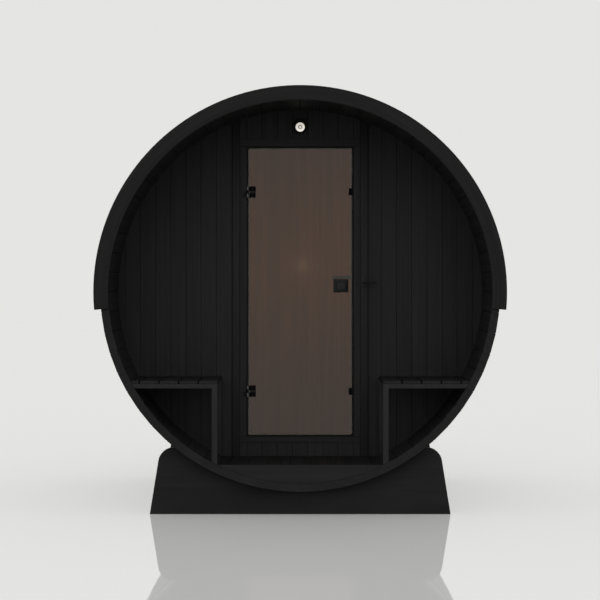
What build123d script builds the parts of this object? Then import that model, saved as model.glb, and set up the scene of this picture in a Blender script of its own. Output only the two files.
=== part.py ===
# Barrel sauna with an open porch, a framed glass door and two porch benches.
# Millimetres, +Z up. The barrel lies along Y and its porch faces -Y. The origin is on the
# ground, under the middle of the barrel.
from build123d import *
from math import cos, radians, sin, sqrt
import os

os.makedirs("parts", exist_ok=True)

# Barrel shell: flat staves bevelled to each other, with a groove near each end that holds an
# end wall. The radius is over the staves' outer corners.
BARREL_R = 1135
STAVE_T = 45
BARREL_L = 2400
SHELL_PANELS = 12
STAVES_PER_PANEL = 5
STAVE_VEE = 5
CROZE_DEPTH = 15
FIT_GAP = 1

# Ground clearance under the lowest stave
GROUND_GAP = 140

# End walls of upright boards, and how far each one stands back from the stave ends
WALL_T = 45
PORCH_DEPTH = 600
REAR_RECESS = 60
WALL_BOARD_W = 91
WALL_VEE = 3
LEFT_FIRST_JOINT = 501.5
RIGHT_FIRST_JOINT = 485.5

# Roof skin of lengthwise boards over arched battens, and the arch boards that trim its ends
ROOF_BATTEN_T = 17
ROOF_BOARD_T = 19
ROOF_OVERHANG_ANGLE = 5
ROOF_PANELS = 5
BOARDS_PER_ROOF_PANEL = 7
ROOF_VEE = 5
ROOF_BATTENS = 3
ROOF_BATTEN_W = 45
FASCIA_T = 20

# Steel hoops that pull the staves together
HOOPS = 4
HOOP_W = 40
HOOP_T = 2
HOOP_END_GAP = 360

# Floor: boards on bearers, and the skirt that closes the porch below its floor. The rise is
# from the lowest stave's inner face to the top of the boards.
FLOOR_RISE = 106.4
FLOOR_T = 28
FLOOR_BOARD_W = 118
FLOOR_VEE = 5
BEARER_T = 45
PORCH_BEARERS = 2
CABIN_BEARERS = 4
SKIRT_T = 28

# Door glass and the gap to its frame
GLASS_W = 621
GLASS_T = 8
GLASS_CORNER = 4
DOOR_GAP = 10
GLASS_SETBACK = 2

# Door frame: jambs, head and sill round the opening, with a stop behind the glass. The wall
# shows below the sill and above the head.
WALL_BELOW_FRAME = 84.5
WALL_ABOVE_FRAME = 170
JAMB_W = 40
HEAD_H = 49.5
SILL_H = 32.5
FRAME_PROUD = 8
FRAME_DEPTH = 60
STOP_W = 15
STOP_GAP = 8
FRAME_CHAMFER = 3

# Cover battens beside the door, from the floor to the shell
BATTEN_W = 45
BATTEN_T = 20
BATTEN_CHAMFER = 3

# Lift-off hinges: the lower knuckle and pin are on the jamb, the upper knuckle is on the glass
HINGE_INSET = 261.5
HINGE_FROM_EDGE = 3.5
KNUCKLE_R = 9
KNUCKLE_H = 30
KNUCKLE_GAP = 5
HINGE_PIN_R = 4
PIN_CLEARANCE = 0.08
CLAMP_W = 37
CLAMP_H = 67
CLAMP_T = 10
CLAMP_INSET = 7.5
CLAMP_BACK_T = 3
CLAMP_CHAMFER = 2
LEAF_T = 3
LEAF_W = 26

# Catch clips on the free edge of the glass
CATCH_W = 20
CATCH_H = 42
CATCH_T = 3
CATCH_EDGE_T = 1.5
CATCH_INSET = 260

# Square door pull, one on each face of the glass
PULL_FROM_EDGE = 66.75
PULL_HEIGHT = 1018
PULL_PLATE_W = 89
PULL_PLATE_H = 78
PULL_PLATE_T = 8
PULL_KNOB_W = 57
PULL_KNOB_H = 48
PULL_OUTER_REACH = 28
PULL_INNER_REACH = 12
PULL_CHAMFER = 3

# Round lamp over the door
LAMP_BELOW_CROWN = 103
LAMP_R = 42
LAMP_DEPTH = 40
LENS_R = 30
LENS_RISE = 6

# Hook bar on the right cover batten
HOOK_HEIGHT = 1037
HOOK_PLATE_RISE = 7
HOOK_PLATE_W = 22
HOOK_PLATE_H = 78
HOOK_PLATE_T = 4
HOOK_PLATE_INSET = 2
HOOK_BAR_W = 11
HOOK_BAR_T = 8
HOOK_REACH = 34
HOOK_BAR_L = 85

# Porch benches: seat boards along the barrel on a frame at each end
SEAT_HEIGHT = 477
SEAT_BOARD_W = 104
SEAT_BOARD_GAP = 7.6
SEAT_BOARD_T = 18
NARROWEST_BOARD = 20
BENCH_RAIL_H = 25
BENCH_POST_W = 32
BENCH_FRAME_T = 45

# Cradles that carry the barrel
CRADLE_T = 60
CRADLE_SETBACK = 120
CRADLE_BASE_HALF = 863
CRADLE_TOP_HALF = 802
CRADLE_TOP_Z = 380
CRADLE_SHOULDER_R = 85
CRADLE_FOOT_R = 12

# Sizes that follow from the ones above
AXIS_Z = GROUND_GAP + BARREL_R
STAVES = SHELL_PANELS * STAVES_PER_PANEL
STAVE_ANGLE = 360 / STAVES
SHELL_FLAT_R = BARREL_R * cos(radians(STAVE_ANGLE / 2))
INNER_FLAT_R = SHELL_FLAT_R - STAVE_T
INSIDE_R = INNER_FLAT_R - FIT_GAP
INSIDE_CORNER_R = INSIDE_R / cos(radians(STAVE_ANGLE / 2))
CROZE_R = INNER_FLAT_R + CROZE_DEPTH
WALL_R = CROZE_R - FIT_GAP
CROWN_Z = AXIS_Z + INNER_FLAT_R
FLOOR_TOP_Z = AXIS_Z - INNER_FLAT_R + FLOOR_RISE
FLOOR_HALF = sqrt(INSIDE_CORNER_R ** 2 - (AXIS_Z - FLOOR_TOP_Z) ** 2)
ROOF_SPAN = 180 + 2 * ROOF_OVERHANG_ANGLE
ROOF_BOARDS = ROOF_PANELS * BOARDS_PER_ROOF_PANEL
ROOF_BOARD_ANGLE = ROOF_SPAN / ROOF_BOARDS
ROOF_INNER_R = BARREL_R + ROOF_BATTEN_T
ROOF_FLAT_R = ROOF_INNER_R + ROOF_BOARD_T
ROOF_R = ROOF_FLAT_R / cos(radians(ROOF_BOARD_ANGLE / 2))
FRONT_Y = -BARREL_L / 2
REAR_Y = BARREL_L / 2
WALL_FRONT_Y = FRONT_Y + PORCH_DEPTH
WALL_BACK_Y = WALL_FRONT_Y + WALL_T
REAR_WALL_BACK_Y = REAR_Y - REAR_RECESS
REAR_WALL_FRONT_Y = REAR_WALL_BACK_Y - WALL_T
FRAME_BOTTOM_Z = FLOOR_TOP_Z + WALL_BELOW_FRAME
FRAME_TOP_Z = CROWN_Z - WALL_ABOVE_FRAME
OPENING_BOTTOM_Z = FRAME_BOTTOM_Z + SILL_H
OPENING_TOP_Z = FRAME_TOP_Z - HEAD_H
OPENING_HALF = GLASS_W / 2 + DOOR_GAP
FRAME_HALF = OPENING_HALF + JAMB_W
GLASS_BOTTOM_Z = OPENING_BOTTOM_Z + DOOR_GAP
GLASS_TOP_Z = OPENING_TOP_Z - DOOR_GAP
FRAME_FRONT_Y = WALL_FRONT_Y - FRAME_PROUD
FRAME_BACK_Y = FRAME_FRONT_Y + FRAME_DEPTH
GLASS_FRONT_Y = FRAME_FRONT_Y + GLASS_SETBACK
GLASS_BACK_Y = GLASS_FRONT_Y + GLASS_T
STOP_FRONT_Y = GLASS_BACK_Y + STOP_GAP
CLAMP_FRONT_Y = GLASS_FRONT_Y - CLAMP_T
HINGE_AXIS_Y = FRAME_FRONT_Y - LEAF_T - KNUCKLE_R
HINGE_AXIS_X = -GLASS_W / 2 - HINGE_FROM_EDGE
HINGE_ZS = (GLASS_BOTTOM_Z + HINGE_INSET, GLASS_TOP_Z - HINGE_INSET)
CATCH_ZS = (GLASS_BOTTOM_Z + CATCH_INSET, GLASS_TOP_Z - CATCH_INSET)
BATTEN_OUTER_X = FRAME_HALF + BATTEN_W
BATTEN_FRONT_Y = WALL_FRONT_Y - BATTEN_T


def across(y):
    """Plane across the barrel at depth y, centred on the barrel's axis and facing the front."""
    return Plane(origin=(0, y, AXIS_Z), x_dir=(1, 0, 0), z_dir=(0, -1, 0))


def up(z):
    """Height above the barrel's axis of a height z above the ground."""
    return z - AXIS_Z


def save(piece, name):
    piece.label = name
    export_step(piece, f"parts/{name}.step")


def board_ring(inner_r, outer_r, start_angle, board_angle, count):
    """Flat boards side by side round the barrel; the radii are to the boards' flat faces."""
    to_corner = 1 / cos(radians(board_angle / 2))
    angles = [radians(start_angle + board_angle * index) for index in range(count + 1)]
    outer = [(outer_r * to_corner * cos(a), outer_r * to_corner * sin(a)) for a in angles]
    inner = [(inner_r * to_corner * cos(a), inner_r * to_corner * sin(a)) for a in angles]
    with BuildSketch() as ring:
        with BuildLine():
            Polyline(*outer, *reversed(inner), close=True)
        make_face()
    return ring.sketch


def joint_vees(radius, start_angle, board_angle, count, width):
    """Square bars on the joints between the boards of a ring, corner outwards, for cutting."""
    with BuildSketch() as vees:
        with PolarLocations(radius, count + 1, start_angle, board_angle * count, endpoint=True):
            Rectangle(width, width, rotation=45)
    return vees.sketch


def stave_polygon(radius):
    """Flat-sided ring outline with one side to each stave; the radius is to the sides."""
    with BuildSketch() as outline:
        RegularPolygon(radius, STAVES, major_radius=False)
    return outline.sketch


def band(low_x, high_x, low_z, high_z, radius):
    """Rectangle of the cross-section, scribed to the flats of the staves."""
    width = high_x - low_x
    height = high_z - low_z
    with BuildSketch() as trimmed:
        add(stave_polygon(radius))
        with Locations(((low_x + high_x) / 2, up((low_z + high_z) / 2))):
            Rectangle(width, height, mode=Mode.INTERSECT)
    return trimmed.sketch


def board_joints(first, last, pitch):
    """Places of the joints between boards from first towards last, one pitch apart."""
    count = int(abs(last - first) // pitch) + 1
    step = pitch if last > first else -pitch
    return [first + step * index for index in range(count)]


def shell_panel(start_angle):
    """Staves side by side, with a V at each joint and a groove for each end wall."""
    corner_r = INNER_FLAT_R / cos(radians(STAVE_ANGLE / 2))
    with BuildPart() as panel:
        with BuildSketch(across(REAR_Y)):
            add(board_ring(INNER_FLAT_R, SHELL_FLAT_R, start_angle, STAVE_ANGLE, STAVES_PER_PANEL))
            for radius in (corner_r, BARREL_R):
                add(joint_vees(radius, start_angle, STAVE_ANGLE, STAVES_PER_PANEL, STAVE_VEE),
                    mode=Mode.SUBTRACT)
        extrude(amount=BARREL_L)
        for wall_back_y in (WALL_BACK_Y, REAR_WALL_BACK_Y):
            with BuildSketch(across(wall_back_y)):
                add(stave_polygon(CROZE_R))
            extrude(amount=WALL_T, mode=Mode.SUBTRACT)
    return panel.part


for number in range(SHELL_PANELS):
    save(shell_panel(number * STAVES_PER_PANEL * STAVE_ANGLE), f"shell_staves_{number + 1:02d}")


def roof_panel(start_angle):
    """Lengthwise roof boards side by side, with a V at each joint."""
    with BuildPart() as panel:
        with BuildSketch(across(REAR_Y)):
            add(board_ring(ROOF_INNER_R, ROOF_FLAT_R, start_angle,
                           ROOF_BOARD_ANGLE, BOARDS_PER_ROOF_PANEL))
            add(joint_vees(ROOF_R, start_angle, ROOF_BOARD_ANGLE, BOARDS_PER_ROOF_PANEL, ROOF_VEE),
                mode=Mode.SUBTRACT)
        extrude(amount=BARREL_L)
    return panel.part


roof_start_angle = -ROOF_OVERHANG_ANGLE
for number in range(ROOF_PANELS):
    panel_start = roof_start_angle + number * BOARDS_PER_ROOF_PANEL * ROOF_BOARD_ANGLE
    save(roof_panel(panel_start), f"roof_boards_{number + 1}")

# Arched battens between the staves and the roof boards
batten_pitch = (BARREL_L - ROOF_BATTEN_W) / (ROOF_BATTENS - 1)
with BuildPart() as roof_battens:
    for number in range(ROOF_BATTENS):
        with BuildSketch(across(FRONT_Y + ROOF_BATTEN_W + number * batten_pitch)):
            add(board_ring(BARREL_R, ROOF_INNER_R, roof_start_angle,
                           ROOF_BOARD_ANGLE, ROOF_BOARDS))
        extrude(amount=ROOF_BATTEN_W)
save(roof_battens.part, "roof_battens")


def fascia(back_y):
    """Arch board over the ends of the staves and the roof."""
    with BuildPart() as arch:
        with BuildSketch(across(back_y)):
            with BuildLine():
                outer = CenterArc((0, 0), ROOF_R, roof_start_angle, ROOF_SPAN)
                inner = CenterArc((0, 0), INNER_FLAT_R, roof_start_angle, ROOF_SPAN)
                Line(outer @ 0, inner @ 0)
                Line(outer @ 1, inner @ 1)
            make_face()
        extrude(amount=FASCIA_T)
    return arch.part


save(fascia(FRONT_Y), "fascia_front")
save(fascia(REAR_Y + FASCIA_T), "fascia_rear")

# Steel hoops round the staves, bent at each joint
first_hoop_y = FRONT_Y + HOOP_END_GAP
hoop_pitch = -2 * first_hoop_y / (HOOPS - 1)
with BuildPart() as hoops:
    for number in range(HOOPS):
        with BuildSketch(across(first_hoop_y + number * hoop_pitch + HOOP_W / 2)):
            add(stave_polygon(SHELL_FLAT_R + HOOP_T))
            add(stave_polygon(SHELL_FLAT_R), mode=Mode.SUBTRACT)
        extrude(amount=HOOP_W)
save(hoops.part, "hoops")


def floor_boards(front_y, back_y):
    """Floor between two depths, scribed to the shell, with a V between its boards."""
    joints = int(INSIDE_R // FLOOR_BOARD_W)
    offsets = [FLOOR_BOARD_W * (index + 0.5) for index in range(joints)]
    with BuildPart() as floor:
        with BuildSketch(across(back_y)):
            low_z = FLOOR_TOP_Z - FLOOR_T
            add(band(-BARREL_R, BARREL_R, low_z, FLOOR_TOP_Z, INSIDE_R))
            for offset in offsets:
                with Locations((offset, up(FLOOR_TOP_Z)), (-offset, up(FLOOR_TOP_Z))):
                    Rectangle(FLOOR_VEE, FLOOR_VEE, rotation=45, mode=Mode.SUBTRACT)
        extrude(amount=back_y - front_y)
    return floor.part


def below_floor(back_y, thickness, top_z):
    """Board on edge between the shell and a level top."""
    with BuildPart() as bearer:
        with BuildSketch(across(back_y)):
            add(band(-BARREL_R, BARREL_R, AXIS_Z - BARREL_R, top_z, INSIDE_R))
        extrude(amount=thickness)
    return bearer.part


save(floor_boards(FRONT_Y + SKIRT_T, WALL_FRONT_Y), "porch_floor")
save(floor_boards(WALL_BACK_Y, REAR_WALL_FRONT_Y), "cabin_floor")
save(below_floor(FRONT_Y + SKIRT_T, SKIRT_T, FLOOR_TOP_Z), "porch_skirt")


def bearer_backs(front_y, back_y, count):
    """Back faces of bearers spread evenly over a floor, one at each end."""
    pitch = (back_y - front_y - BEARER_T) / (count - 1)
    return [front_y + BEARER_T + index * pitch for index in range(count)]


# Bearers across the barrel under both floors
bearer_ys = bearer_backs(FRONT_Y + SKIRT_T, WALL_FRONT_Y, PORCH_BEARERS)
bearer_ys += bearer_backs(WALL_BACK_Y, REAR_WALL_FRONT_Y, CABIN_BEARERS)
with BuildPart() as floor_bearers:
    for bearer_y in bearer_ys:
        add(below_floor(bearer_y, BEARER_T, FLOOR_TOP_Z - FLOOR_T))
save(floor_bearers.part, "floor_bearers")


def wall_piece(back_y, low_x, high_x, low_z, high_z, joint_xs, outside_y):
    """Piece of an end wall, seated in the shell's groove, with a V outside at each board joint."""
    with BuildPart() as wall:
        with BuildSketch(across(back_y)):
            add(band(low_x, high_x, low_z, high_z, WALL_R))
        extrude(amount=WALL_T)
        with BuildSketch():
            with Locations(*[(joint_x, outside_y) for joint_x in joint_xs]):
                Rectangle(WALL_VEE, WALL_VEE, rotation=45)
        extrude(amount=AXIS_Z + WALL_R, mode=Mode.SUBTRACT)
    return wall.part


low_wall_z = AXIS_Z - WALL_R
high_wall_z = AXIS_Z + WALL_R
left_joints = board_joints(-LEFT_FIRST_JOINT, -WALL_R, WALL_BOARD_W)
right_joints = board_joints(RIGHT_FIRST_JOINT, WALL_R, WALL_BOARD_W)
door_joints = board_joints(WALL_BOARD_W / 2, FRAME_HALF, WALL_BOARD_W)
door_joints += [-joint for joint in door_joints]
rear_joints = board_joints(WALL_BOARD_W / 2, WALL_R, WALL_BOARD_W)
rear_joints += [-joint for joint in rear_joints]

save(wall_piece(WALL_BACK_Y, -WALL_R, -FRAME_HALF, low_wall_z, high_wall_z,
                left_joints, WALL_FRONT_Y), "front_wall_left")
save(wall_piece(WALL_BACK_Y, FRAME_HALF, WALL_R, low_wall_z, high_wall_z,
                right_joints, WALL_FRONT_Y), "front_wall_right")
save(wall_piece(WALL_BACK_Y, -FRAME_HALF, FRAME_HALF, FRAME_TOP_Z, high_wall_z,
                door_joints, WALL_FRONT_Y), "front_wall_head")
save(wall_piece(WALL_BACK_Y, -FRAME_HALF, FRAME_HALF, low_wall_z, FRAME_BOTTOM_Z,
                door_joints, WALL_FRONT_Y), "front_wall_sill")
save(wall_piece(REAR_WALL_BACK_Y, -WALL_R, WALL_R, low_wall_z, high_wall_z,
                rear_joints, REAR_WALL_BACK_Y), "rear_wall")


def cover_batten(side):
    """Upright beside the door frame, from the floor to the shell."""
    inner_x = side * FRAME_HALF
    outer_x = side * BATTEN_OUTER_X
    with BuildPart() as batten:
        with BuildSketch(across(WALL_FRONT_Y)):
            add(band(min(inner_x, outer_x), max(inner_x, outer_x),
                     FLOOR_TOP_Z, AXIS_Z + BARREL_R, INSIDE_R))
        extrude(amount=BATTEN_T)
        front = batten.faces().filter_by(Axis.Y).sort_by(Axis.Y)[0]
        chamfer(front.edges().filter_by(Axis.Z), length=BATTEN_CHAMFER)
    return batten.part


save(cover_batten(-1), "cover_batten_left")
save(cover_batten(1), "cover_batten_right")


def jamb(side):
    """Side of the door frame with its stop behind the glass."""
    outer_x = side * FRAME_HALF
    inner_x = side * OPENING_HALF
    stop_x = side * (OPENING_HALF - STOP_W)
    with BuildPart() as upright:
        with BuildSketch(Plane.XY.offset(OPENING_BOTTOM_Z)):
            with BuildLine():
                Polyline((outer_x, FRAME_FRONT_Y), (inner_x, FRAME_FRONT_Y),
                         (inner_x, STOP_FRONT_Y), (stop_x, STOP_FRONT_Y),
                         (stop_x, FRAME_BACK_Y), (outer_x, FRAME_BACK_Y), close=True)
            make_face()
        extrude(amount=OPENING_TOP_Z - OPENING_BOTTOM_Z)
    return upright.part


def rail(opening_z, outer_z, stop_z):
    """Head or sill of the door frame, with its stop between the stops of the jambs."""
    with BuildPart() as cross_piece:
        with BuildSketch(Plane.YZ.offset(-FRAME_HALF)):
            with BuildLine():
                Polyline((FRAME_FRONT_Y, opening_z), (FRAME_FRONT_Y, outer_z),
                         (FRAME_BACK_Y, outer_z), (FRAME_BACK_Y, opening_z), close=True)
            make_face()
        extrude(amount=2 * FRAME_HALF)
        front_edge = cross_piece.edges().filter_by(Axis.X).group_by(Axis.Y)[0]
        chamfer(front_edge.filter_by_position(Axis.Z, opening_z - 1, opening_z + 1),
                length=FRAME_CHAMFER)
        stop_half = OPENING_HALF - STOP_W
        with BuildSketch(Plane.YZ.offset(-stop_half)):
            with BuildLine():
                Polyline((STOP_FRONT_Y, opening_z), (STOP_FRONT_Y, stop_z),
                         (FRAME_BACK_Y, stop_z), (FRAME_BACK_Y, opening_z), close=True)
            make_face()
        extrude(amount=2 * stop_half)
    return cross_piece.part


save(jamb(-1), "door_frame_left")
save(jamb(1), "door_frame_right")
save(rail(OPENING_TOP_Z, FRAME_TOP_Z, OPENING_TOP_Z - STOP_W), "door_frame_head")
save(rail(OPENING_BOTTOM_Z, FRAME_BOTTOM_Z, OPENING_BOTTOM_Z + STOP_W), "door_frame_sill")

# Door glass
with BuildPart() as door_glass:
    with BuildSketch(across(GLASS_BACK_Y)):
        with Locations((0, up((GLASS_BOTTOM_Z + GLASS_TOP_Z) / 2))):
            pane = Rectangle(GLASS_W, GLASS_TOP_Z - GLASS_BOTTOM_Z)
        chamfer(pane.vertices(), length=GLASS_CORNER)
    extrude(amount=GLASS_T)
save(door_glass.part, "door_glass")

# Glass half of each hinge: a plate in front, one behind, and the upper knuckle on the pin
clamp_low_x = -GLASS_W / 2 + CLAMP_INSET
with BuildPart() as glass_hinges:
    for hinge_z in HINGE_ZS:
        with BuildSketch(across(GLASS_FRONT_Y)):
            with Locations((clamp_low_x + CLAMP_W / 2, up(hinge_z))):
                plate = Rectangle(CLAMP_W, CLAMP_H)
            chamfer(plate.vertices(), length=CLAMP_CHAMFER)
        extrude(amount=CLAMP_T)
        with BuildSketch(across(GLASS_BACK_Y + CLAMP_BACK_T)):
            with Locations((clamp_low_x + CLAMP_W / 2, up(hinge_z))):
                plate = Rectangle(CLAMP_W, CLAMP_H)
            chamfer(plate.vertices(), length=CLAMP_CHAMFER)
        extrude(amount=CLAMP_BACK_T)
        with BuildSketch(Plane.XY.offset(hinge_z + KNUCKLE_GAP / 2)):
            with Locations((HINGE_AXIS_X, HINGE_AXIS_Y)):
                Circle(KNUCKLE_R)
            arm_l = clamp_low_x - HINGE_AXIS_X
            arm_back_y = CLAMP_FRONT_Y + KNUCKLE_R / 2
            with Locations((HINGE_AXIS_X, arm_back_y)):
                Rectangle(arm_l, KNUCKLE_R, align=(Align.MIN, Align.MAX))
        extrude(amount=KNUCKLE_H)
        with BuildSketch(Plane.XY.offset(hinge_z + KNUCKLE_GAP / 2)):
            with Locations((HINGE_AXIS_X, HINGE_AXIS_Y)):
                Circle(HINGE_PIN_R + PIN_CLEARANCE)
        extrude(amount=KNUCKLE_H, mode=Mode.SUBTRACT)
save(glass_hinges.part, "door_glass_hinges")

# Frame half of each hinge: a leaf on the jamb, the lower knuckle and the pin
with BuildPart() as jamb_hinges:
    for hinge_z in HINGE_ZS:
        knuckle_z = hinge_z - KNUCKLE_GAP / 2 - KNUCKLE_H
        with BuildSketch(Plane.XY.offset(knuckle_z)):
            with Locations((HINGE_AXIS_X, HINGE_AXIS_Y)):
                Circle(KNUCKLE_R)
            with Locations((HINGE_AXIS_X, FRAME_FRONT_Y)):
                Rectangle(LEAF_W, LEAF_T, align=(Align.MAX, Align.MAX))
            with Locations((HINGE_AXIS_X, HINGE_AXIS_Y)):
                Rectangle(KNUCKLE_R, KNUCKLE_R + LEAF_T, align=(Align.MAX, Align.MIN))
        extrude(amount=KNUCKLE_H)
        with BuildSketch(Plane.XY.offset(knuckle_z)):
            with Locations((HINGE_AXIS_X, HINGE_AXIS_Y)):
                Circle(HINGE_PIN_R)
        extrude(amount=2 * KNUCKLE_H + KNUCKLE_GAP)
save(jamb_hinges.part, "door_jamb_hinges")

# Catch clips folded round the free edge of the glass
with BuildPart() as catches:
    for catch_z in CATCH_ZS:
        with BuildSketch(Plane.XY.offset(catch_z - CATCH_H / 2)):
            edge_x = GLASS_W / 2 + CATCH_EDGE_T
            with Locations((edge_x, GLASS_BACK_Y + CATCH_T)):
                Rectangle(CATCH_W + CATCH_EDGE_T, GLASS_T + 2 * CATCH_T, align=Align.MAX)
            with Locations((GLASS_W / 2, GLASS_BACK_Y)):
                Rectangle(CATCH_W, GLASS_T, align=Align.MAX, mode=Mode.SUBTRACT)
        extrude(amount=CATCH_H)
save(catches.part, "door_catches")


def door_pull(face_y, direction, reach):
    """Square plate and knob on one face of the glass; direction is -1 outside and 1 inside."""
    with BuildPart() as pull:
        facing = Plane(origin=(GLASS_W / 2 - PULL_FROM_EDGE, face_y, FLOOR_TOP_Z + PULL_HEIGHT),
                       x_dir=(1, 0, 0), z_dir=(0, direction, 0))
        with BuildSketch(facing):
            Rectangle(PULL_PLATE_W, PULL_PLATE_H)
        extrude(amount=PULL_PLATE_T)
        plate = pull.faces().sort_by(Axis.Y)[0 if direction < 0 else -1]
        chamfer(plate.edges(), length=PULL_CHAMFER)
        with BuildSketch(facing.offset(PULL_PLATE_T)):
            Rectangle(PULL_KNOB_W, PULL_KNOB_H)
        extrude(amount=reach)
        tip = pull.faces().sort_by(Axis.Y)[0 if direction < 0 else -1]
        chamfer(tip.edges(), length=PULL_CHAMFER)
    return pull.part


save(door_pull(GLASS_FRONT_Y, -1, PULL_OUTER_REACH), "door_pull_outer")
save(door_pull(GLASS_BACK_Y, 1, PULL_INNER_REACH), "door_pull_inner")

# Lamp body: a round drum on the wall
lamp_back = Plane(origin=(0, WALL_FRONT_Y, CROWN_Z - LAMP_BELOW_CROWN),
                  x_dir=(1, 0, 0), z_dir=(0, -1, 0))
lamp_front = lamp_back.offset(LAMP_DEPTH)
with BuildPart() as lamp_body:
    with BuildSketch(lamp_back):
        Circle(LAMP_R)
    extrude(amount=LAMP_DEPTH)
save(lamp_body.part, "lamp_body")

# Lamp lens: a disc on the drum
with BuildPart() as lamp_lens:
    with BuildSketch(lamp_front):
        Circle(LENS_R)
    extrude(amount=LENS_RISE)
save(lamp_lens.part, "lamp_lens")

# Hook: a plate on the batten and a flat bar that comes forward and turns along the wall
hook_x = FRAME_HALF + HOOK_PLATE_INSET + HOOK_PLATE_W / 2
hook_z = FLOOR_TOP_Z + HOOK_HEIGHT
hook_face_y = BATTEN_FRONT_Y - HOOK_PLATE_T
with BuildPart() as hook:
    with BuildSketch(across(BATTEN_FRONT_Y)):
        with Locations((hook_x, up(hook_z + HOOK_PLATE_RISE))):
            Rectangle(HOOK_PLATE_W, HOOK_PLATE_H)
    extrude(amount=HOOK_PLATE_T)
    with BuildSketch(Plane.XY.offset(hook_z - HOOK_BAR_W / 2)):
        with Locations((hook_x - HOOK_BAR_T / 2, hook_face_y)):
            Rectangle(HOOK_BAR_T, HOOK_REACH, align=(Align.MIN, Align.MAX))
        with Locations((hook_x - HOOK_BAR_T / 2, hook_face_y - HOOK_REACH)):
            Rectangle(HOOK_BAR_L, HOOK_BAR_T, align=(Align.MIN, Align.MIN))
    extrude(amount=HOOK_BAR_W)
save(hook.part, "hook")


seat_top_z = FLOOR_TOP_Z + SEAT_HEIGHT
seat_low_z = seat_top_z - SEAT_BOARD_T
seat_half = sqrt(INSIDE_CORNER_R ** 2 - (AXIS_Z - seat_low_z) ** 2)


def bench_seat(side):
    """Seat boards along the barrel; the outermost is scribed to the shell."""
    pitch = SEAT_BOARD_W + SEAT_BOARD_GAP
    boards = int((seat_half - NARROWEST_BOARD - FLOOR_HALF) // pitch) + 1
    with BuildPart() as seat:
        with BuildSketch(across(WALL_FRONT_Y)):
            for index in range(boards):
                near_x = side * (FLOOR_HALF + index * pitch)
                far_x = near_x + side * SEAT_BOARD_W
                add(band(min(near_x, far_x), max(near_x, far_x),
                         seat_low_z, seat_top_z, INSIDE_R))
        extrude(amount=PORCH_DEPTH)
    return seat.part


def bench_frame(side):
    """A rail under the boards and a post down to the shell, at the front and at the wall."""
    rail_low_z = seat_low_z - BENCH_RAIL_H
    inner_x = side * FLOOR_HALF
    post_x = side * (FLOOR_HALF + BENCH_POST_W)
    shell_x = side * BARREL_R
    with BuildPart() as frame:
        for back_y in (FRONT_Y + BENCH_FRAME_T, WALL_FRONT_Y):
            with BuildSketch(across(back_y)):
                add(band(min(inner_x, shell_x), max(inner_x, shell_x),
                         rail_low_z, seat_low_z, INSIDE_R))
                add(band(min(inner_x, post_x), max(inner_x, post_x),
                         AXIS_Z - BARREL_R, seat_low_z, INSIDE_R))
            extrude(amount=BENCH_FRAME_T)
    return frame.part


for side, side_name in ((-1, "left"), (1, "right")):
    save(bench_seat(side), f"bench_{side_name}_seat")
    save(bench_frame(side), f"bench_{side_name}_frame")


def cradle(back_y):
    """Stand with leaning sides, rounded shoulders and a hollow that fits the barrel."""
    with BuildPart() as stand:
        with BuildSketch(across(back_y)):
            with BuildLine():
                Polyline((-CRADLE_BASE_HALF, -AXIS_Z), (CRADLE_BASE_HALF, -AXIS_Z),
                         (CRADLE_TOP_HALF, up(CRADLE_TOP_Z)),
                         (-CRADLE_TOP_HALF, up(CRADLE_TOP_Z)), close=True)
            outline = make_face()
            fillet(outline.vertices().group_by(Axis.Y)[-1], radius=CRADLE_SHOULDER_R)
            fillet(outline.vertices().group_by(Axis.Y)[0], radius=CRADLE_FOOT_R)
            Circle(BARREL_R, mode=Mode.SUBTRACT)
        extrude(amount=CRADLE_T)
    return stand.part


save(cradle(FRONT_Y + CRADLE_SETBACK + CRADLE_T), "cradle_front")
save(cradle(CRADLE_T / 2), "cradle_middle")
save(cradle(REAR_Y - CRADLE_SETBACK), "cradle_rear")
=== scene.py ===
# %% [markdown]
# # A black barrel sauna
# The sauna is a barrel of bevelled wooden staves that lies on three cradles. A boarded wall
# with a framed glass door closes its cabin, and the staves run on past that wall to make an
# open porch with a bench on each side. A skin of boards over the upper half keeps rain off.
#
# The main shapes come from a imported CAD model, which is loaded as a fixed frame. This lesson
# gives those shapes their finishes, and it models what the frame is too plain for: the glass
# with its polished edges, the seal, the hinges, the lamp, screws and the hoops' tensioners.

from math import cos, pi, radians, sin

import bpy
from mathutils import Matrix, Vector


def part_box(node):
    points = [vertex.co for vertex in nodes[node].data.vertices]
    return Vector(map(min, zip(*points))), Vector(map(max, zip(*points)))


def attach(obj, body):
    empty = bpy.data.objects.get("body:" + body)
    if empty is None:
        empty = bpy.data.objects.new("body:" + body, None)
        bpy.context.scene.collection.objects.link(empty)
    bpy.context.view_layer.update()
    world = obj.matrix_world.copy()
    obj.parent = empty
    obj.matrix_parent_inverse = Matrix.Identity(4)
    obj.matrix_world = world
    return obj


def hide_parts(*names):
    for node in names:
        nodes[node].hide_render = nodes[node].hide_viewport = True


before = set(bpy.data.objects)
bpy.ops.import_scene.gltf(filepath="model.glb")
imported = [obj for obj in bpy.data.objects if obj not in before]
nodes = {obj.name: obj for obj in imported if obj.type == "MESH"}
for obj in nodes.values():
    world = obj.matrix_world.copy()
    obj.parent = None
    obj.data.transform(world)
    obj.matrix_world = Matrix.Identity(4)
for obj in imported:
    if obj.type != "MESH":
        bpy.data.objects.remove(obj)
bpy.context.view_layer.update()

# %% [markdown]
# ## Measures
# Everything is in metres, and the front of the sauna faces -Y. The barrel's own measures are
# read off the frame, so that a piece always lands where the frame carries it. The sizes of
# single boards are written here once, because both their grain and their screws follow them.

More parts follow.
